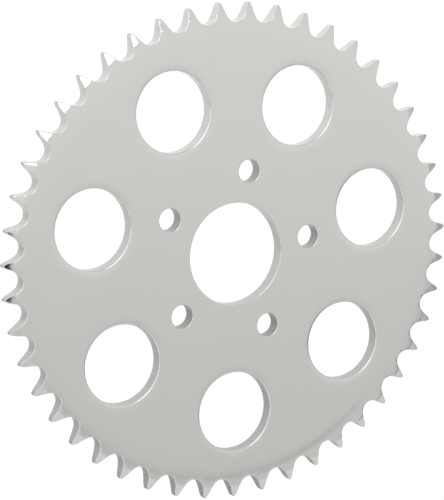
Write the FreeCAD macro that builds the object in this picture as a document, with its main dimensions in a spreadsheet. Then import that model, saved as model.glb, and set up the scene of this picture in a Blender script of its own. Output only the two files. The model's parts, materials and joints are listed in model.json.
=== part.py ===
import FreeCAD, Part
import os

import Sketcher

# Rear sprocket of a chain-driven motorcycle: one flat steel plate, chrome plated.
# Row frame: origin at the centre of the bore, halfway through the plate.
# +Y is the spin axis and points to the back face, which seats on the hub.
# The front face looks along -Y. +X is right and +Z is up, seen from the front.

DOC = FreeCAD.newDocument("rear_sprocket")
SHEET = DOC.addObject("Spreadsheet::Sheet", "Sizes")

# Driving dimensions, in millimetres and degrees. Angles run counter-clockwise
# from +X, seen from the front.
SIZES = [
    ("teeth", 47),
    ("chain_pitch", 15.875),
    ("roller_diameter", 10.16),
    ("plate_thickness", 7.14),
    ("bore_diameter", 50.8),
    ("bore_chamfer", 0.4),
    ("bolt_holes", 5),
    ("bolt_hole_diameter", 11.5),
    ("bolt_circle", 82.55),
    ("bolt_angle", 79.7),
    ("bolt_hole_chamfer", 0.4),
    ("light_holes", 7),
    ("light_hole_diameter", 39.7),
    ("light_circle", 158.75),
    ("light_angle", 115.43),
    ("light_hole_rounding", 0.8),
    # The buffed face falls away gently from here out to the teeth.
    ("roll_start", 101.0),
    ("roll_radius", 550.0),
    # Each side of the tooth ring is bevelled by an arc this far in from the tips.
    ("bevel_height", 6.5),
    ("bevel_radius", 18.0),
]
for row, (alias, value) in enumerate(SIZES, start=1):
    SHEET.set(f"A{row}", alias)
    SHEET.set(f"B{row}", str(value))
    SHEET.setAlias(f"B{row}", alias)
DOC.recompute()

# Ends of the sketch elements, as the sketcher numbers them.
START, END, CENTRE = 1, 2, 3
ORIGIN = -1
UP_AXIS = -2

# Tooth form of a standard roller chain sprocket, as expressions on the sheet.
HALF_TOOTH = "180 deg / Sizes.teeth"
PITCH_RADIUS = f"Sizes.chain_pitch / (2 * sin({HALF_TOOTH}))"
TIP_RADIUS = f"Sizes.chain_pitch * (0.6 + 1 / tan({HALF_TOOTH})) / 2"
SEAT_RADIUS = "0.5025 * Sizes.roller_diameter + 0.0381"
WORK_RADIUS = "1.3025 * Sizes.roller_diameter + 0.0381"
SEAT_ANGLE = "(35 deg + 60 deg / Sizes.teeth)"
WORK_ANGLE = "(18 deg - 56 deg / Sizes.teeth)"
WORK_OFFSET = "0.8 * Sizes.roller_diameter"
TOP_OFFSET = "1.4 * Sizes.roller_diameter"


def number(expression):
    """Value of a sheet expression as a plain number, in mm or degrees."""
    value = SHEET.evalExpression(expression)
    return float(getattr(value, "Value", value))


def vector(x, y):
    return FreeCAD.Vector(x, y, 0)


def origin_part(body, role):
    """One of the body's own base planes or axes."""
    return next(part for part in body.Origin.OriginFeatures if part.Role == role)


def new_sketch(body, name, plane):
    sketch = body.newObject("Sketcher::SketchObject", name)
    sketch.AttachmentSupport = (origin_part(body, plane), [""])
    sketch.MapMode = "FlatFace"
    return sketch


def arc(sketch, centre, radius, start, end):
    """Counter-clockwise arc from start to end, all given as vectors."""
    circle = Part.Circle(centre, FreeCAD.Vector(0, 0, 1), radius)
    return sketch.addGeometry(
        Part.ArcOfCircle(circle, circle.parameter(start), circle.parameter(end))
    )


def line(sketch, start, end):
    return sketch.addGeometry(Part.LineSegment(start, end))


def constrain(sketch, *terms):
    return sketch.addConstraint(Sketcher.Constraint(*terms))


def bind(sketch, expression, *terms):
    """Adds a dimension whose value follows the sheet."""
    index = constrain(sketch, *terms, number(expression))
    sketch.setExpression(f"Constraints[{index}]", expression)


def draw_blank_section(body):
    """Half section of the turned blank, from the bore out to the tooth tips.

    Across the sketch is the spin axis, up the sketch is the radius.
    """
    sketch = new_sketch(body, "blank_section", "YZ_Plane")
    half = number("Sizes.plate_thickness / 2")
    bore = number("Sizes.bore_diameter / 2")
    chamfer = number("Sizes.bore_chamfer")
    roll_start = number("Sizes.roll_start")
    roll = number("Sizes.roll_radius")
    bevel = number("Sizes.bevel_radius")
    tip = number(TIP_RADIUS)
    bevel_start = tip - number("Sizes.bevel_height")
    roll_drop = roll - (roll ** 2 - (bevel_start - roll_start) ** 2) ** 0.5
    # The bevel's centre lies on the line through the roll's centre.
    share = bevel / roll
    bevel_y = bevel_start - share * (bevel_start - roll_start)
    bevel_x = half - roll_drop - share * (roll - roll_drop)
    tip_x = bevel_x + (bevel ** 2 - (tip - bevel_y) ** 2) ** 0.5

    inner = line(sketch, vector(-half + chamfer, bore), vector(half - chamfer, bore))
    outer = line(sketch, vector(-tip_x, tip), vector(tip_x, tip))
    constrain(sketch, "Horizontal", inner)
    constrain(sketch, "Horizontal", outer)
    bind(sketch, "Sizes.bore_diameter / 2", "DistanceY", ORIGIN, START, inner, START)
    bind(sketch, TIP_RADIUS, "DistanceY", ORIGIN, START, outer, START)
    for side, inner_end in ((-1, START), (1, END)):
        corner = line(
            sketch, vector(side * (half - chamfer), bore), vector(side * half, bore + chamfer)
        )
        face = line(sketch, vector(side * half, bore + chamfer), vector(side * half, roll_start))
        roll_end = vector(side * (half - roll_drop), bevel_start)
        tip_end = vector(side * tip_x, tip)
        roll_ends = [vector(side * half, roll_start), roll_end]
        bevel_ends = [roll_end, tip_end]
        # Arcs are drawn counter-clockwise, so the front side's run from the tip down.
        inside, outside = (START, END) if side > 0 else (END, START)
        roll_arc = arc(sketch, vector(side * (half - roll), roll_start), roll, *roll_ends[::side])
        bevel_arc = arc(sketch, vector(side * bevel_x, bevel_y), bevel, *bevel_ends[::side])
        constrain(sketch, "Coincident", inner, inner_end, corner, START)
        constrain(sketch, "Coincident", corner, END, face, START)
        constrain(sketch, "Vertical", face)
        constrain(sketch, "Tangent", face, END, roll_arc, inside)
        constrain(sketch, "Tangent", roll_arc, outside, bevel_arc, inside)
        constrain(sketch, "Coincident", bevel_arc, outside, outer, inner_end)
        chamfer_ends = (corner, START, corner, END) if side > 0 else (corner, END, corner, START)
        bind(sketch, "Sizes.bore_chamfer", "DistanceX", *chamfer_ends)
        bind(sketch, "Sizes.bore_chamfer", "DistanceY", corner, START, corner, END)
        width_ends = (ORIGIN, START, face, END) if side > 0 else (face, END, ORIGIN, START)
        bind(sketch, "Sizes.plate_thickness / 2", "DistanceX", *width_ends)
        bind(sketch, "Sizes.roll_start", "DistanceY", ORIGIN, START, face, END)
        bind(sketch, "Sizes.roll_radius", "Radius", roll_arc)
        bind(sketch, "Sizes.bevel_radius", "Radius", bevel_arc)
        bind(
            sketch, f"{TIP_RADIUS} - Sizes.bevel_height",
            "DistanceY", ORIGIN, START, roll_arc, outside,
        )
    return sketch


def draw_tooth_gap(body):
    """Gap between two teeth: roller seat, working curves, flanks and topping curves."""
    sketch = new_sketch(body, "tooth_gap", "XZ_Plane")
    pitch = number(PITCH_RADIUS)
    tip = number(TIP_RADIUS)
    seat = number(SEAT_RADIUS)
    work = number(WORK_RADIUS)
    seat_angle = number(SEAT_ANGLE)
    flank_angle = seat_angle - number(WORK_ANGLE)

    def ray(angle, length):
        turned = FreeCAD.Rotation(FreeCAD.Vector(0, 0, 1), angle)
        return turned.multVec(vector(length, 0))

    # Points of the right side. The left side mirrors them.
    roller = vector(0, pitch)
    seat_end = roller + ray(-seat_angle, seat)
    work_centre = roller - ray(-seat_angle, number(WORK_OFFSET))
    work_end = work_centre + ray(-flank_angle, work)
    top_centre = roller + ray(-number(HALF_TOOTH), number(TOP_OFFSET))
    top = (top_centre - work_end).dot(ray(-flank_angle, 1))
    top_start = top_centre - ray(-flank_angle, top)
    top_end = vector(top_centre.x - (top ** 2 - (tip - top_centre.y) ** 2) ** 0.5, tip)

    seat_arc = arc(sketch, roller, seat, vector(-seat_end.x, seat_end.y), seat_end)
    mouth = line(sketch, vector(-top_end.x, tip), top_end)
    constrain(sketch, "PointOnObject", seat_arc, CENTRE, UP_AXIS)
    constrain(sketch, "Horizontal", mouth)
    bind(sketch, PITCH_RADIUS, "DistanceY", ORIGIN, START, seat_arc, CENTRE)
    bind(sketch, SEAT_RADIUS, "Radius", seat_arc)
    bind(sketch, TIP_RADIUS, "DistanceY", ORIGIN, START, mouth, END)
    for side in (-1, 1):

        def place(point):
            return vector(side * point.x, point.y)

        # Arcs run counter-clockwise, so each one's inner end swaps with the side.
        inner, outer = (START, END) if side > 0 else (END, START)
        work_ends = [place(seat_end), place(work_end)]
        top_ends = [place(top_end), place(top_start)]
        work_arc = arc(sketch, place(work_centre), work, *work_ends[::side])
        flank = line(sketch, place(work_end), place(top_start))
        top_arc = arc(sketch, place(top_centre), top, *top_ends[::side])
        constrain(sketch, "Tangent", seat_arc, outer, work_arc, inner)
        constrain(sketch, "Tangent", work_arc, outer, flank, START)
        constrain(sketch, "Tangent", flank, END, top_arc, outer)
        constrain(sketch, "Coincident", top_arc, inner, mouth, outer)

        def bind_across(expression, left, right):
            """Sideways distance, from the left point to the right one."""
            ends = left + right if side > 0 else right + left
            bind(sketch, expression, "DistanceX", *ends)

        centre = (seat_arc, CENTRE)
        bind_across(f"({SEAT_RADIUS}) * cos({SEAT_ANGLE})", centre, (seat_arc, outer))
        bind_across(f"{TOP_OFFSET} * cos({HALF_TOOTH})", centre, (top_arc, CENTRE))
        bind(sketch, WORK_RADIUS, "Radius", work_arc)
        bind(
            sketch, f"({WORK_RADIUS}) * sin({SEAT_ANGLE} - {WORK_ANGLE})",
            "DistanceY", work_arc, outer, work_arc, CENTRE,
        )
        bind(
            sketch, f"{TOP_OFFSET} * sin({HALF_TOOTH})",
            "DistanceY", top_arc, CENTRE, seat_arc, CENTRE,
        )
    return sketch


def draw_hole(body, name, diameter, circle, angle):
    """One round hole, its centre on a circle about the spin axis."""
    sketch = new_sketch(body, name, "XZ_Plane")
    reach = f"Sizes.{circle} / 2"
    turn = f"(Sizes.{angle} * 1 deg)"
    across = f"{reach} * cos{turn}"
    up = f"{reach} * sin{turn}"
    centre = vector(number(across), number(up))
    rim = sketch.addGeometry(
        Part.Circle(centre, FreeCAD.Vector(0, 0, 1), number(f"Sizes.{diameter} / 2"))
    )
    bind(sketch, f"Sizes.{diameter}", "Diameter", rim)
    side = (ORIGIN, START, rim, CENTRE) if centre.x > 0 else (rim, CENTRE, ORIGIN, START)
    bind(sketch, across if centre.x > 0 else f"-1 * {across}", "DistanceX", *side)
    bind(sketch, up, "DistanceY", ORIGIN, START, rim, CENTRE)
    return sketch


def cut_round(body, sketch, count):
    """Cuts the sketch right through the plate and repeats the cut about the spin axis."""
    pocket = body.newObject("PartDesign::Pocket", f"{sketch.Name}_cut")
    pocket.Profile = sketch
    pocket.Type = "ThroughAll"
    pocket.Midplane = True
    ring = body.newObject("PartDesign::PolarPattern", f"{sketch.Name}_ring")
    ring.Originals = [pocket]
    ring.Axis = (origin_part(body, "Y_Axis"), [""])
    ring.Angle = 360
    ring.setExpression("Occurrences", count)
    body.Tip = ring
    DOC.recompute()
    return ring


def rim_edges(feature, diameter, circle):
    """Names of the round edges of a ring of holes, on both faces of the plate."""
    radius = number(f"Sizes.{diameter} / 2")
    reach = number(f"Sizes.{circle} / 2")
    names = []
    for index, edge in enumerate(feature.Shape.Edges, start=1):
        curve = edge.Curve
        if not isinstance(curve, Part.Circle) or abs(curve.Radius - radius) > 1e-4:
            continue
        centre = curve.Center
        if abs((centre.x ** 2 + centre.z ** 2) ** 0.5 - reach) < 1e-3:
            names.append(f"Edge{index}")
    return names


def build_plate():
    body = DOC.addObject("PartDesign::Body", "sprocket_plate")
    body.Label = "sprocket_plate"

    blank = body.newObject("PartDesign::Revolution", "blank")
    blank.Profile = draw_blank_section(body)
    blank.ReferenceAxis = (origin_part(body, "Y_Axis"), [""])
    blank.Angle = 360
    body.Tip = blank
    DOC.recompute()

    cut_round(body, draw_tooth_gap(body), "Sizes.teeth")
    bolt_hole = draw_hole(body, "bolt_hole", "bolt_hole_diameter", "bolt_circle", "bolt_angle")
    cut_round(body, bolt_hole, "Sizes.bolt_holes")
    light_hole = draw_hole(
        body, "light_hole", "light_hole_diameter", "light_circle", "light_angle"
    )
    holes = cut_round(body, light_hole, "Sizes.light_holes")

    rounding = body.newObject("PartDesign::Fillet", "light_hole_rims")
    rounding.Base = (holes, rim_edges(holes, "light_hole_diameter", "light_circle"))
    rounding.setExpression("Radius", "Sizes.light_hole_rounding")
    body.Tip = rounding
    DOC.recompute()

    chamfer = body.newObject("PartDesign::Chamfer", "bolt_hole_rims")
    chamfer.Base = (rounding, rim_edges(rounding, "bolt_hole_diameter", "bolt_circle"))
    chamfer.setExpression("Size", "Sizes.bolt_hole_chamfer")
    body.Tip = chamfer
    DOC.recompute()
    return body


PARTS = [build_plate()]

for item in DOC.Objects:
    if "Invalid" in item.State or "Error" in item.State:
        raise RuntimeError(f"{item.Name} did not build: {item.State}")
os.makedirs("parts", exist_ok=True)
for part in PARTS:
    if part.Shape.isNull() or not part.Shape.isValid():
        raise RuntimeError(f"{part.Label} has no valid shape")
    part.Shape.exportStep(f"parts/{part.Label}.step")
    print(part.Label, part.Shape.Volume, part.Shape.BoundBox)
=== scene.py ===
"""Rear sprocket for a motorcycle chain: the buffed plate, its chrome, and a plain pale studio."""
import json
import math

import bpy
from mathutils import Matrix, Vector


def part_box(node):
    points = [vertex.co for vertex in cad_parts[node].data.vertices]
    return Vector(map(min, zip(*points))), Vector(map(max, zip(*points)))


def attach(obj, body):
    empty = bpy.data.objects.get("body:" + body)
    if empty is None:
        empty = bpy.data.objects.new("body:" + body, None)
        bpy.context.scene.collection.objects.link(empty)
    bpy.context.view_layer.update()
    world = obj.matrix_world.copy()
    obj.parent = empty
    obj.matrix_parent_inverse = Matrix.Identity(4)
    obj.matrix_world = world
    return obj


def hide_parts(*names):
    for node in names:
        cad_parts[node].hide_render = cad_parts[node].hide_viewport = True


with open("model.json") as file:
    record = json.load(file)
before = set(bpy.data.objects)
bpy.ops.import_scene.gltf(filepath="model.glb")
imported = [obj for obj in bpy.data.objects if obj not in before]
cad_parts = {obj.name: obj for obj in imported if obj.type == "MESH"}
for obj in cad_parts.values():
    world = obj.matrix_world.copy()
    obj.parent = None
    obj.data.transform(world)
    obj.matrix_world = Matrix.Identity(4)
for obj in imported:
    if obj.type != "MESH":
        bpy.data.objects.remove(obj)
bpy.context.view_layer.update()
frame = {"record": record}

MM = 0.001
SPIN_AXIS = (0.0, 1.0, 0.0)
# Points closer than this are one point, first within a hole's wall and then in the plate.
LATHE_TOUCH = 1e-6
TOUCH = 2e-6

# ---------------------------------------------------------------- sizes
mounts = {mount["name"]: mount for mount in frame["record"]["mounts"]}
low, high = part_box("sprocket_plate")

HALF_THICK = high.y
BORE_RADIUS = mounts["centre_bore"]["dims"]["r_mm"] * MM
BOLT_CIRCLE = mounts["hub_bolts"]["dims"]["pcd_mm"] * MM / 2
BOLT_RADIUS = mounts["hub_bolts"]["dims"]["hole_r_mm"] * MM
BOLT_COUNT = mounts["hub_bolts"]["dims"]["count"]
BOLT_ANGLE = math.radians(79.7)

LIGHT_COUNT = 7
LIGHT_CIRCLE = 79.375 * MM
LIGHT_RADIUS = 19.85 * MM
LIGHT_ANGLE = math.radians(115.43)

# Roller chain tooth form.
TEETH = 47
PITCH = 15.875 * MM
ROLLER = 10.16 * MM
HALF_TOOTH = math.pi / TEETH
PITCH_RADIUS = PITCH / (2 * math.sin(HALF_TOOTH))
TIP_RADIUS = PITCH * (0.6 + 1 / math.tan(HALF_TOOTH)) / 2
SEAT_RADIUS = 0.5025 * ROLLER + 0.0381 * MM
WORK_RADIUS = 1.3025 * ROLLER + 0.0381 * MM
SEAT_ANGLE = math.radians(35 + 60 / TEETH)
WORK_ANGLE = math.radians(18 - 56 / TEETH)
WORK_OFFSET = 0.8 * ROLLER
TOP_OFFSET = 1.4 * ROLLER

# The buffed face leans away towards the teeth: the lean in degrees at each radius.
LEANS = (
    (104.0, 0.0), (108.0, 0.5), (109.7, 0.85), (112.4, 1.12), (114.5, 1.5), (117.3, 1.5),
    (118.0, 14.2), (123.5, 16.2),
)
RING_START = LEANS[0][0] * MM
RING_ROWS = (
    105.5, 107.0, 108.0, 109.0, 110.0, 111.0, 112.0, 113.0, 114.0, 115.0, 116.0, 116.8, 117.2,
    117.4, 117.6, 117.8, 118.0, 118.5, 119.5, 120.5, 121.5, 122.5,
)

# Softness left by the buffing wheel on the edges of the holes and teeth.
RIM_ROUND = 0.8 * MM
RIM_FADE = 3.5 * MM
RIM_SINK = 0.08 * MM
BORE_ROUND = 0.45 * MM
TOOTH_ROUND = 0.40 * MM

# Straight steps that stand for each curve.
SEAT_STEPS = 10
WORK_STEPS = 3
TOP_STEPS = 5
RING_STEPS = 4
TOOTH_ROUND_STEPS = 3
RIM_ROUND_STEPS = 5
RIM_FADE_STEPS = 5
RIM_STEPS = 96
BOLT_STEPS = 48
BORE_STEPS = 160
# Edges that turn by more than this are rounded.
SHARP_TURN = math.radians(35)
# Rays that split a tooth's share of the ring, as shares of half a tooth.
RING_RAYS = (-0.5, 0.0, 0.5)


# ---------------------------------------------------------------- modelling
def deselect_all():
    for item in bpy.context.selected_objects:
        item.select_set(False)


def edit(piece):
    deselect_all()
    bpy.context.view_layer.objects.active = piece
    piece.select_set(True)
    bpy.ops.object.mode_set(mode="EDIT")


def leave_edit():
    bpy.ops.object.mode_set(mode="OBJECT")


class Outline:
    """A pencil: one vertex, drawn along by extrude and spin, as a new object in edit mode."""

    def __init__(self, name, point):
        deselect_all()
        bpy.ops.mesh.primitive_plane_add(size=MM, location=(0, 0, 0))
        self.piece = bpy.context.object
        self.piece.name = name
        edit(self.piece)
        bpy.ops.mesh.select_all(action="SELECT")
        bpy.ops.mesh.merge(type="CENTER")
        bpy.ops.transform.translate(value=point)
        self.point = Vector(point)

    def line_to(self, point):
        step = Vector(point) - self.point
        bpy.ops.mesh.extrude_region_move(TRANSFORM_OT_translate={"value": step})
        self.point = Vector(point)

    def arc(self, centre, angle, steps, axis=SPIN_AXIS):
        """Turns on about the centre. A positive angle runs from +X towards +Z about +Y."""
        bpy.ops.mesh.spin(steps=steps, angle=angle, center=centre, axis=axis)
        turned = Matrix.Rotation(-angle, 3, Vector(axis)) @ (self.point - Vector(centre))
        self.point = Vector(centre) + turned

    def close(self):
        """Joins the line's two ends into one flat face."""
        bpy.ops.mesh.select_all(action="SELECT")
        bpy.ops.mesh.edge_face_add()

    def lathe(self, centre, steps):
        """Turns the whole line once round an axis along +Y."""
        bpy.ops.mesh.select_all(action="SELECT")
        bpy.ops.mesh.spin(steps=steps, angle=2 * math.pi, center=centre, axis=SPIN_AXIS)
        bpy.ops.mesh.select_all(action="SELECT")
        bpy.ops.mesh.remove_doubles(threshold=LATHE_TOUCH)
        bpy.ops.mesh.normals_make_consistent(inside=False)


def polar(radius, angle):
    """Point on the plate's middle plane, the angle counter-clockwise from +X seen from the front."""
    return Vector((radius * math.cos(angle), 0, radius * math.sin(angle)))


def copy_round(piece, count):
    """The piece and its copies, spaced evenly about the spin axis, as one object."""
    copies = [piece]
    for index in range(1, count):
        deselect_all()
        piece.select_set(True)
        bpy.context.view_layer.objects.active = piece
        bpy.ops.object.duplicate()
        twin = bpy.context.object
        twin.data.transform(Matrix.Rotation(index * 2 * math.pi / count, 4, Vector(SPIN_AXIS)))
        copies.append(twin)
    return join(copies)


def lean_drop(radius):
    """How far the front face has dropped at a radius, adding up its leans."""
    drop = 0.0
    for (start, lean), (end, next_lean) in zip(LEANS, LEANS[1:]):
        reach = min(radius / MM, end) - start
        if reach <= 0:
            break
        stop_lean = lean + (next_lean - lean) * reach / (end - start)
        drop += reach * math.tan(math.radians((lean + stop_lean) / 2))
    return drop * MM


def tooth():
    """The front half of one tooth with its share of the ring, pointing up, still flat."""

    def front(point):
        return Vector((point.x, -HALF_THICK, point.z))

    def ray(angle, length):
        return polar(length, angle + HALF_TOOTH)

    def mirrored(point):
        return Vector((-point.x, point.y, point.z))

    flank_angle = SEAT_ANGLE - WORK_ANGLE
    roller = polar(PITCH_RADIUS, math.pi / 2 + HALF_TOOTH)
    root = polar(PITCH_RADIUS - SEAT_RADIUS, math.pi / 2 + HALF_TOOTH)
    work_centre = roller - ray(-SEAT_ANGLE, WORK_OFFSET)
    work_end = work_centre + ray(-flank_angle, WORK_RADIUS)
    top_centre = roller + ray(-HALF_TOOTH, TOP_OFFSET)
    top_radius = (top_centre - work_end).dot(ray(-flank_angle, 1))
    flank_end = top_centre - ray(-flank_angle, top_radius)
    top_lift = math.asin((TIP_RADIUS - top_centre.z) / top_radius)
    top_turn = flank_angle - HALF_TOOTH - top_lift
    top_end = top_centre + polar(top_radius, math.pi - top_lift)
    seat_turn = math.pi / 2 - SEAT_ANGLE

    ring = Outline("sprocket", front(root))
    ring.arc(roller, seat_turn, SEAT_STEPS)
    ring.arc(work_centre, WORK_ANGLE, WORK_STEPS)
    ring.line_to(front(flank_end))
    ring.arc(top_centre, top_turn, TOP_STEPS)
    ring.line_to(front(mirrored(top_end)))
    ring.arc(mirrored(top_centre), top_turn, TOP_STEPS)
    ring.line_to(front(mirrored(work_end)))
    ring.arc(mirrored(work_centre), WORK_ANGLE, WORK_STEPS)
    ring.arc(mirrored(roller), seat_turn, SEAT_STEPS)
    ring.line_to(front(polar(RING_START, math.pi / 2 - HALF_TOOTH)))
    ring.arc((0, 0, 0), 2 * HALF_TOOTH, RING_STEPS)
    ring.close()
    leave_edit()
    pick(ring.piece, lambda point: math.hypot(point.x, point.z) > root.length - TOUCH)
    bpy.ops.mesh.extrude_region_move(TRANSFORM_OT_translate={"value": (0, HALF_THICK, 0)})
    bpy.ops.mesh.select_all(action="DESELECT")
    bpy.ops.mesh.edges_select_sharp(sharpness=SHARP_TURN)
    bpy.ops.mesh.bevel(offset=TOOTH_ROUND, segments=TOOTH_ROUND_STEPS, affect="EDGES",
                       clamp_overlap=False)
    for row in RING_ROWS:
        bpy.ops.mesh.select_all(action="SELECT")
        bpy.ops.mesh.bisect(plane_co=(0, 0, row * MM), plane_no=(0, 0, 1))
    for share in RING_RAYS:
        across = polar(1, share * HALF_TOOTH)
        bpy.ops.mesh.select_all(action="SELECT")
        bpy.ops.mesh.bisect(plane_co=(0, 0, 0), plane_no=across)
    leave_edit()
    ring.piece.data.transform(Matrix.Rotation(HALF_TOOTH, 4, Vector(SPIN_AXIS)))
    return ring.piece


def pick(piece, test):
    """Opens the piece for editing with only the points that pass the test picked."""
    edit(piece)
    bpy.ops.mesh.select_all(action="DESELECT")
    leave_edit()
    for vertex in piece.data.vertices:
        vertex.select = test(vertex.co)
    edit(piece)


def rim(radius, rounding, fade, sink, steps, centre):
    """The front half of a round hole: its face edge, sunk a little, its rounding and its wall."""
    outer = radius + rounding + fade
    lip = HALF_THICK - sink
    hole = Outline("rim", (0, -HALF_THICK, outer))
    fade_steps = RIM_FADE_STEPS if fade else 0
    for index in range(1, fade_steps + 1):
        share = index / fade_steps
        hole.line_to((0, -HALF_THICK + sink * share ** 2, outer - fade * share))
    hole.arc((0, rounding - lip, outer - fade), -math.pi / 2, RIM_ROUND_STEPS, axis=(1, 0, 0))
    hole.line_to((0, 0, radius))
    hole.lathe((0, 0, 0), steps)
    bpy.ops.transform.translate(value=centre)
    leave_edit()
    return hole.piece


def join(pieces):
    deselect_all()
    for item in pieces:
        item.select_set(True)
    bpy.context.view_layer.objects.active = pieces[0]
    bpy.ops.object.join()
    return pieces[0]


def modify(piece, name, kind, **settings):
    """Adds a modifier to the piece and applies it."""
    deselect_all()
    piece.select_set(True)
    bpy.context.view_layer.objects.active = piece
    modifier = piece.modifiers.new(name, kind)
    for key, value in settings.items():
        setattr(modifier, key, value)
    bpy.ops.object.modifier_apply(modifier=modifier.name)


def build_plate():
    teeth = copy_round(tooth(), TEETH)
    light_centre = polar(LIGHT_CIRCLE, LIGHT_ANGLE)
    lights = copy_round(
        rim(LIGHT_RADIUS, RIM_ROUND, RIM_FADE, RIM_SINK, RIM_STEPS, light_centre), LIGHT_COUNT
    )
    bolt_centre = polar(BOLT_CIRCLE, BOLT_ANGLE)
    bolts = copy_round(rim(BOLT_RADIUS, BORE_ROUND, 0, 0, BOLT_STEPS, bolt_centre), BOLT_COUNT)
    bore = rim(BORE_RADIUS, BORE_ROUND, 0, 0, BORE_STEPS, (0, 0, 0))
    plate = join([teeth, lights, bolts, bore])

    # Close the front face between the tooth ring and the holes.
    edit(plate)
    bpy.ops.mesh.select_all(action="SELECT")
    bpy.ops.mesh.remove_doubles(threshold=TOUCH)
    bpy.ops.mesh.select_all(action="DESELECT")
    bpy.ops.mesh.select_non_manifold(use_wire=False, use_multi_face=False,
                                     use_non_contiguous=False, use_verts=False)
    leave_edit()
    marked = iter([vertex.select for vertex in plate.data.vertices])
    pick(plate, lambda point: next(marked) and point.y < -TOUCH)
    bpy.ops.mesh.fill(use_beauty=True)
    leave_edit()

    # Lean the face away towards the teeth.
    for vertex in plate.data.vertices:
        radius = math.hypot(vertex.co.x, vertex.co.z)
        vertex.co.y *= 1 - lean_drop(radius) / HALF_THICK

    modify(plate, "other_half", "MIRROR", use_axis=(False, True, False), merge_threshold=TOUCH)
    edit(plate)
    bpy.ops.mesh.select_all(action="SELECT")
    bpy.ops.mesh.normals_make_consistent(inside=False)
    leave_edit()
    # On so thin and pierced a plate the faces can all end up pointing inwards.
    front = min(plate.data.polygons, key=lambda facet: facet.center.y)
    if front.normal.y > 0:
        plate.data.flip_normals()
    bpy.ops.object.shade_smooth()
    modify(plate, "weights", "WEIGHTED_NORMAL", mode="FACE_AREA")
    return plate


plate = build_plate()
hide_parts("sprocket_plate")
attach(plate, "root")


# ---------------------------------------------------------------- chrome
def new_group(name, inputs, outputs):
    """An empty shader group with its sockets; sockets are (name, kind, default) or (name, kind)."""
    group = bpy.data.node_groups.new(name, "ShaderNodeTree")
    for label, kind, default in inputs:
        socket = group.interface.new_socket(label, in_out="INPUT", socket_type=kind)
        socket.default_value = default
    for label, kind in outputs:
        group.interface.new_socket(label, in_out="OUTPUT", socket_type=kind)
    return group, group.nodes.new("NodeGroupInput"), group.nodes.new("NodeGroupOutput")


def node(tree, kind, links=None, **settings):
    """A node with its settings, its sockets filled from values or from other nodes' outputs."""
    made = tree.nodes.new(kind)
    for key, value in settings.items():
        setattr(made, key, value)
    for key, value in (links or {}).items():
        if isinstance(value, bpy.types.NodeSocket):
            tree.links.new(value, made.inputs[key])
        else:
            made.inputs[key].default_value = value
    return made


def spread(tree, value, low_in, high_in, low_out, high_out, smooth=True):
    """Maps one range of a value onto another."""
    return node(
        tree, "ShaderNodeMapRange",
        {"Value": value, "From Min": low_in, "From Max": high_in,
         "To Min": low_out, "To Max": high_out},
        interpolation_type="SMOOTHSTEP" if smooth else "LINEAR",
    ).outputs["Result"]


def combine(tree, operation, first, second):
    """Sum, difference or product of two values."""
    return node(tree, "ShaderNodeMath", {0: first, 1: second}, operation=operation).outputs[0]


def plating_group():
    """Slow drifts of tint, gloss and flatness that a plated, buffed plate keeps."""
    group, given, result = new_group(
        "plating_drift",
        [("Vector", "NodeSocketVector", (0, 0, 0)), ("Colour", "NodeSocketColor", (1, 1, 1, 1)),
         ("Tint", "NodeSocketFloat", 0.03), ("Gloss Low", "NodeSocketFloat", 0.06),
         ("Gloss High", "NodeSocketFloat", 0.12)],
        [("Colour", "NodeSocketColor"), ("Roughness", "NodeSocketFloat"),
         ("Height", "NodeSocketFloat")],
    )
    cloud = node(group, "ShaderNodeTexNoise",
                 {"Vector": given.outputs["Vector"], "Scale": 26.0, "Detail": 3.0,
                  "Roughness": 0.5})
    warm = node(group, "ShaderNodeMix", {"Factor": cloud.outputs["Fac"],
                "A": (0.955, 1.0, 0.985, 1.0), "B": (1.03, 0.985, 0.985, 1.0)},
                data_type="RGBA")
    tinted = node(group, "ShaderNodeMix", {"A": given.outputs["Colour"]},
                  data_type="RGBA", blend_type="MULTIPLY")
    group.links.new(warm.outputs["Result"], tinted.inputs["B"])
    share = spread(group, given.outputs["Tint"], 0.0, 0.1, 0.0, 1.0, smooth=False)
    group.links.new(share, tinted.inputs["Factor"])
    smear = node(group, "ShaderNodeTexNoise",
                 {"Vector": given.outputs["Vector"], "Scale": 60.0, "Detail": 5.0,
                  "Roughness": 0.6, "Distortion": 0.6})
    gloss = node(group, "ShaderNodeMapRange", {
        "Value": smear.outputs["Fac"], "From Min": 0.3, "From Max": 0.7,
        "To Min": given.outputs["Gloss Low"], "To Max": given.outputs["Gloss High"]})
    swell = node(group, "ShaderNodeTexNoise",
                 {"Vector": given.outputs["Vector"], "Scale": 34.0, "Detail": 1.0})
    group.links.new(tinted.outputs["Result"], result.inputs["Colour"])
    group.links.new(gloss.outputs["Result"], result.inputs["Roughness"])
    group.links.new(swell.outputs["Fac"], result.inputs["Height"])
    return group


def grain_group():
    """Fine parallel marks of a tool, drawn out along one axis by the stretch."""
    group, given, result = new_group(
        "tool_grain",
        [("Vector", "NodeSocketVector", (0, 0, 0)), ("Stretch", "NodeSocketVector", (1, 1, 1)),
         ("Contrast", "NodeSocketFloat", 1.0)],
        [("Shade", "NodeSocketFloat"), ("Height", "NodeSocketFloat")],
    )
    laid = node(group, "ShaderNodeMapping", {
        "Vector": given.outputs["Vector"], "Scale": given.outputs["Stretch"]})
    lines = node(group, "ShaderNodeTexNoise", {
        "Vector": laid.outputs["Vector"], "Scale": 1.0, "Detail": 4.0, "Roughness": 0.65})
    level = spread(group, lines.outputs["Fac"], 0.3, 0.7, 0.0, 1.0)
    centred = combine(group, "SUBTRACT", level, 0.5)
    scaled = combine(group, "MULTIPLY", centred, given.outputs["Contrast"])
    group.links.new(combine(group, "ADD", scaled, 1.0), result.inputs["Shade"])
    group.links.new(lines.outputs["Fac"], result.inputs["Height"])
    return group


PLATING = plating_group()
GRAIN = grain_group()


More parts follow.
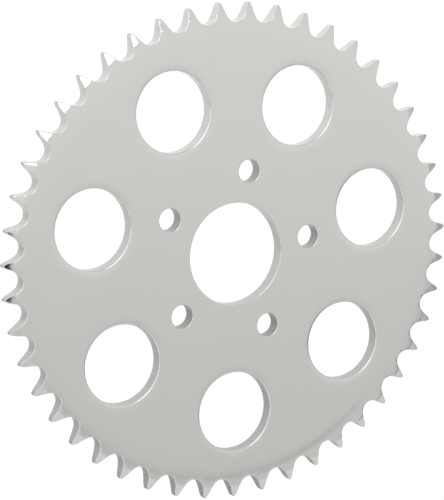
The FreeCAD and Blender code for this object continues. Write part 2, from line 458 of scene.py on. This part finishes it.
def place(tree, group, **values):
    """The group as a node in a material, with its own values."""
    made = tree.nodes.new("ShaderNodeGroup")
    made.node_tree = group
    for key, value in values.items():
        socket = made.inputs[key.replace("_", " ")]
        if isinstance(value, bpy.types.NodeSocket):
            tree.links.new(value, socket)
        else:
            socket.default_value = value
    return made


def chrome_material(name, colour, gloss, stretch, contrast, grain_depth, swell_depth):
    """Chrome plate over the plating drift and the marks of the tool that finished it."""
    chrome = bpy.data.materials.new(name)
    chrome.use_nodes = True
    tree = chrome.node_tree
    shader = tree.nodes["Principled BSDF"]
    shader.inputs["Metallic"].default_value = 1.0
    spot = tree.nodes.new("ShaderNodeTexCoord").outputs["Object"]
    drift = place(tree, PLATING, Vector=spot, Colour=(*colour, 1.0), Tint=PLATE_TINT,
                  Gloss_Low=gloss[0], Gloss_High=gloss[1])
    marks = place(tree, GRAIN, Vector=spot, Stretch=stretch, Contrast=contrast)
    shaded = node(tree, "ShaderNodeVectorMath",
                  {0: drift.outputs["Colour"]}, operation="SCALE")
    tree.links.new(marks.outputs["Shade"], shaded.inputs["Scale"])
    tree.links.new(shaded.outputs["Vector"], shader.inputs["Base Color"])
    tree.links.new(drift.outputs["Roughness"], shader.inputs["Roughness"])
    wave = node(tree, "ShaderNodeBump", {"Strength": 1.0, "Distance": swell_depth,
                                         "Height": drift.outputs["Height"]})
    scratch = node(tree, "ShaderNodeBump", {"Strength": 1.0, "Distance": grain_depth,
                                            "Height": marks.outputs["Height"],
                                            "Normal": wave.outputs["Normal"]})
    tree.links.new(scratch.outputs["Normal"], shader.inputs["Normal"])
    return chrome


# How far the tint drifts over the plate, from 0 to 0.1.
PLATE_TINT = 0.05
# Depths in metres.
FINISHES = (
    {"name": "buffed_chrome", "colour": (0.505, 0.508, 0.492), "gloss": (0.05, 0.09),
     "stretch": (700, 700, 700), "contrast": 0.006, "grain_depth": 0.03e-6,
     "swell_depth": 10e-6},
    {"name": "cut_wall_chrome", "colour": (0.50, 0.503, 0.487), "gloss": (0.12, 0.24),
     "stretch": (1500, 110, 1500), "contrast": 0.12, "grain_depth": 1.5e-6,
     "swell_depth": 12e-6},
    # The drilled walls' darker colour is painted shade for the dark inside of the bolt holes; their
    # rougher gloss and coarser grain are their own.
    {"name": "drilled_wall_chrome_painted_shade", "colour": (0.30, 0.30, 0.288), "gloss": (0.16, 0.30),
     "stretch": (1500, 110, 1500), "contrast": 0.22, "grain_depth": 2.0e-6,
     "swell_depth": 12e-6},
)
for finish in FINISHES:
    plate.data.materials.append(chrome_material(**finish))
# Places of the two wall finishes in the list above; the second one's darker colour is painted shade
# inside the bolt holes.
CUT_WALL, SHADED_DRILLED_WALL = 1, 2

# A facet is part of a wall when its normal lies this close to the plate's plane.
WALL_LEAN = 0.25
DRILLED_FROM = BOLT_CIRCLE - BOLT_RADIUS - 1 * MM
DRILLED_TO = BOLT_CIRCLE + BOLT_RADIUS + 1 * MM
# Wall facets round the bolt holes take the finish whose darker colour is painted shade; other walls
# take the cut finish.
for facet in plate.data.polygons:
    reach = math.hypot(facet.center.x, facet.center.z)
    if abs(facet.normal.y) < WALL_LEAN:
        drilled = DRILLED_FROM < reach < DRILLED_TO
        facet.material_index = SHADED_DRILLED_WALL if drilled else CUT_WALL


# ---------------------------------------------------------------- studio
def toward(turn, rise):
    """Direction at a turn to the right of straight ahead of the front face, and a rise."""
    turn, rise = math.radians(turn), math.radians(rise)
    return Vector((math.sin(turn) * math.cos(rise), -math.cos(turn) * math.cos(rise),
                   math.sin(rise)))


def glow_material(name, strength):
    """An even glow, with no shading of its own."""
    look = bpy.data.materials.new(name)
    look.use_nodes = True
    tree = look.node_tree
    tree.nodes.clear()
    glow = node(tree, "ShaderNodeEmission", {"Strength": strength})
    out = node(tree, "ShaderNodeOutputMaterial")
    tree.links.new(glow.outputs["Emission"], out.inputs["Surface"])
    return look


def only_reflected(thing):
    thing.visible_camera = False
    thing.visible_diffuse = False
    thing.visible_shadow = False
    thing.visible_transmission = False
    thing.visible_volume_scatter = False


FLOOR_SIZE = 12.0
FLOOR_HEIGHT = low.z - 1.5 * MM
# Brightness of the floor and of the backdrop behind it.
PALE = 1.02
deselect_all()
bpy.ops.mesh.primitive_plane_add(size=FLOOR_SIZE, location=(0, 0, FLOOR_HEIGHT))
floor = bpy.context.object
floor.name = "floor"
floor.data.materials.append(glow_material("pale_floor", PALE))
floor.visible_glossy = False

# The light tent's brightness by height, from straight down (-1) to straight up (1).
TENT_LEVELS = (
    (-1.0, 0.9), (-0.6, 1.13), (-0.36, 1.0), (-0.27, 1.0), (-0.17, 1.12), (-0.07, 1.25),
    (0.1, 1.25), (0.5, 1.2), (1.0, 1.1),
)
# The ramp holds each level as a share of this one.
FULL_LEVEL = 2.0

# Sides of the tent: where each one starts and ends along one part of the direction, and its
# share of the light at both ends.
BACK = (0.0, 0.5, 0.0, 1.0)
LOW_BACK = (-0.35, 0.1, 0.55, 1.0)
LEFT_SIDE = (-0.5, -0.1, 1.25, 1.0)
RIGHT_SIDE = (0.80, 0.90, 1.0, 0.6)

# The tent's mouth has a dark hem below it and a darker band at its lower right. Each step of
# shade grows between two angles from the mouth's middle, in degrees, by its last number.
MOUTH = toward(27.4, -11.0)
HEM_SHADE = (5.7, 6.6, 0.09)
HEM_LINE = (6.4, 6.75, 0.20)
HEM_END = (6.8, 7.15, 0.34)
HEM_HEIGHT = (-0.27, -0.235, 1.0, 0.0)
BAND_START = (8.5, 10.5, 0.6)
BAND_END = (20.0, 24.0, 0.6)
BAND_HEIGHT = (-0.22, -0.16, 1.0, 0.0)
BAND_WAY = (0.880, 0.400, 0.254)
BAND_SIDE = (0.09, 0.13, 0.0, 1.0)


def light_tent():
    """Even light all round, with softly darker sides, and one pale tone behind the object."""
    world = bpy.data.worlds.new("light_tent")
    world.use_nodes = True
    tree = world.node_tree
    sky = tree.nodes["Background"]
    sky.inputs["Color"].default_value = (1.0, 1.0, 1.0, 1.0)
    way = tree.nodes.new("ShaderNodeTexCoord").outputs["Generated"]
    parts = node(tree, "ShaderNodeSeparateXYZ", {"Vector": way}).outputs

    def along(direction):
        return node(tree, "ShaderNodeVectorMath", {0: way, 1: tuple(direction)},
                    operation="DOT_PRODUCT").outputs["Value"]

    mouth = along(MOUTH)

    def ring(start, end, depth):
        return spread(tree, mouth, math.cos(math.radians(start)), math.cos(math.radians(end)),
                      0.0, depth)

    levels = node(tree, "ShaderNodeValToRGB",
                  {"Fac": spread(tree, parts["Z"], -1.0, 1.0, 0.0, 1.0, smooth=False)})
    ramp = levels.color_ramp
    ramp.interpolation = "CARDINAL"
    for index, (height, level) in enumerate(TENT_LEVELS):
        position = (height + 1) / 2
        if 0 < index < len(TENT_LEVELS) - 1:
            stop = ramp.elements.new(position)
        else:
            stop = ramp.elements[-1 if index else 0]
            stop.position = position
        share = level / FULL_LEVEL
        stop.color = (share, share, share, 1.0)
    light = combine(tree, "MULTIPLY", levels.outputs["Color"], FULL_LEVEL)

    back_share = node(tree, "ShaderNodeMix", {
        "Factor": spread(tree, parts["Y"], *BACK), "A": 1.0,
        "B": spread(tree, parts["Z"], *LOW_BACK)}).outputs["Result"]
    hem = combine(tree, "SUBTRACT",
                  combine(tree, "ADD", ring(*HEM_SHADE), ring(*HEM_LINE)), ring(*HEM_END))
    hem = combine(tree, "MULTIPLY", hem, spread(tree, parts["Z"], *HEM_HEIGHT))
    band = combine(tree, "SUBTRACT", ring(*BAND_START), ring(*BAND_END))
    band = combine(tree, "MULTIPLY", band, spread(tree, parts["Z"], *BAND_HEIGHT))
    band = combine(tree, "MULTIPLY", band, spread(tree, along(BAND_WAY), *BAND_SIDE))
    for share in (
        back_share,
        spread(tree, parts["X"], *LEFT_SIDE),
        spread(tree, parts["X"], *RIGHT_SIDE),
        combine(tree, "SUBTRACT", 1.0, band),
        combine(tree, "SUBTRACT", 1.0, hem),
    ):
        light = combine(tree, "MULTIPLY", light, share)

    seen = tree.nodes.new("ShaderNodeLightPath").outputs["Is Camera Ray"]
    shown = node(tree, "ShaderNodeMix", {"Factor": seen, "A": light, "B": PALE})
    tree.links.new(shown.outputs["Result"], sky.inputs["Strength"])
    return world


bpy.context.scene.world = light_tent()

# Softbox above and behind the camera, upright and facing the front of the plate.
UPRIGHT = (math.radians(90), 0, 0)
SOFTBOX_RADIANCE = 1.9
SOFTBOX_WIDTH = 1.04
SOFTBOX_HEIGHT = 1.0
softbox = bpy.data.lights.new("softbox", "AREA")
softbox.shape = "RECTANGLE"
softbox.size = SOFTBOX_WIDTH
softbox.size_y = SOFTBOX_HEIGHT
softbox.energy = SOFTBOX_RADIANCE * math.pi * SOFTBOX_WIDTH * SOFTBOX_HEIGHT
softbox_stand = bpy.data.objects.new("softbox", softbox)
bpy.context.collection.objects.link(softbox_stand)
softbox_stand.location = (-0.02, -2.1, 0.76)
softbox_stand.rotation_euler = UPRIGHT
softbox_stand.visible_camera = False


def card(name, width, height, centre, look):
    """An upright card facing front and back, seen only in the chrome."""
    deselect_all()
    bpy.ops.mesh.primitive_plane_add(size=1)
    sheet = bpy.context.object
    sheet.name = name
    sheet.scale = (width, height, 1)
    sheet.location = centre
    sheet.rotation_euler = UPRIGHT
    sheet.data.materials.append(look)
    only_reflected(sheet)


# The graded card dims to the last share over this stretch near its left edge, in card widths.
CARD_LEFT = (-0.19, -0.12, 0.78, 1.0)


def graded_glow(name, low_level, high_level):
    """A glow that grows from the lower edge of a card to its upper edge, less at its left."""
    look = glow_material(name, 1.0)
    tree = look.node_tree
    glow = next(item for item in tree.nodes if item.type == "EMISSION")
    spot = tree.nodes.new("ShaderNodeTexCoord").outputs["Object"]
    parts = node(tree, "ShaderNodeSeparateXYZ", {"Vector": spot}).outputs
    rise = spread(tree, parts["Y"], -0.5, 0.5, low_level, high_level, smooth=False)
    strength = combine(tree, "MULTIPLY", rise, spread(tree, parts["X"], *CARD_LEFT))
    tree.links.new(strength, glow.inputs["Strength"])
    return look


card("black_flag", width=0.056, height=0.130, centre=(-0.205, -0.5, -0.09),
     look=glow_material("black_flag", 0.0))
card("graded_back_card", width=0.70, height=0.44, centre=(-0.05, 0.10, 0.0),
     look=graded_glow("graded_back_card", 0.42, 1.50))

# ---------------------------------------------------------------- camera
CAMERA_AIM = Vector((-4.4, 2.7, 1.4)) * MM
CAMERA_TURN = math.radians(-28.54)
CAMERA_RISE = math.radians(9.93)
CAMERA_DISTANCE = 1.162
# The sensor and the lens in millimetres, and the reach of the view in metres.
SENSOR_WIDTH = 36.0
LENS_LENGTH = 170.0
NEAREST = 0.05
FARTHEST = 100.0
lens = bpy.data.cameras.new("camera")
lens.sensor_width = SENSOR_WIDTH
lens.lens = LENS_LENGTH
lens.clip_start = NEAREST
lens.clip_end = FARTHEST
camera = bpy.data.objects.new("camera", lens)
bpy.context.collection.objects.link(camera)
back = Vector((
    math.sin(CAMERA_TURN) * math.cos(CAMERA_RISE),
    -math.cos(CAMERA_TURN) * math.cos(CAMERA_RISE),
    math.sin(CAMERA_RISE),
))
camera.location = CAMERA_AIM + back * CAMERA_DISTANCE
camera.rotation_euler = (-back).to_track_quat("-Z", "Y").to_euler()
bpy.context.scene.camera = camera
bpy.context.scene.view_settings.view_transform = "Standard"
